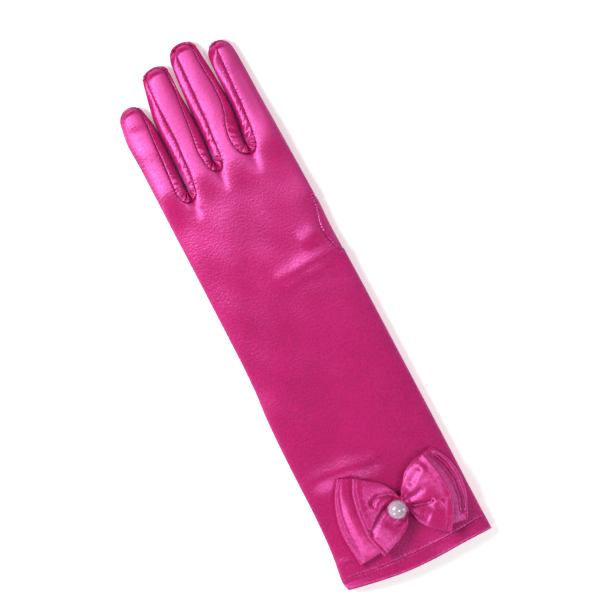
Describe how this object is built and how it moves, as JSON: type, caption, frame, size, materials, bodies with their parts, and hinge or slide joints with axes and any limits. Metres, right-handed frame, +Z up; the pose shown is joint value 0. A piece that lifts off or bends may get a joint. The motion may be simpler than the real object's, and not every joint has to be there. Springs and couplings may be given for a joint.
{
  "type": "long satin dress glove",
  "caption": "Long left-hand satin glove lying back up, full fingers with side strips, thumb folded under the palm, a layered bow and a pearl bead near the cuff.",
  "frame": {"origin": "centre of the glove's bounding box in plan, on the surface the glove lies on", "axes": "+X across the hand towards the thumb side, +Y from the cuff towards the fingertips, +Z up out of the back of the hand"},
  "size_m": [0.088, 0.3209, 0.0305],
  "materials": {
    "satin": "glossy woven satin",
    "pearl": "pearl lustre"
  },
  "bodies": {
    "root": {"trank": "satin", "thumb": "satin", "fourchette_index_middle": "satin", "fourchette_middle_ring": "satin", "fourchette_ring_little": "satin", "bow_lower": "satin", "bow_upper": "satin", "pearl_bead": "pearl"}
  },
  "joints": []
}
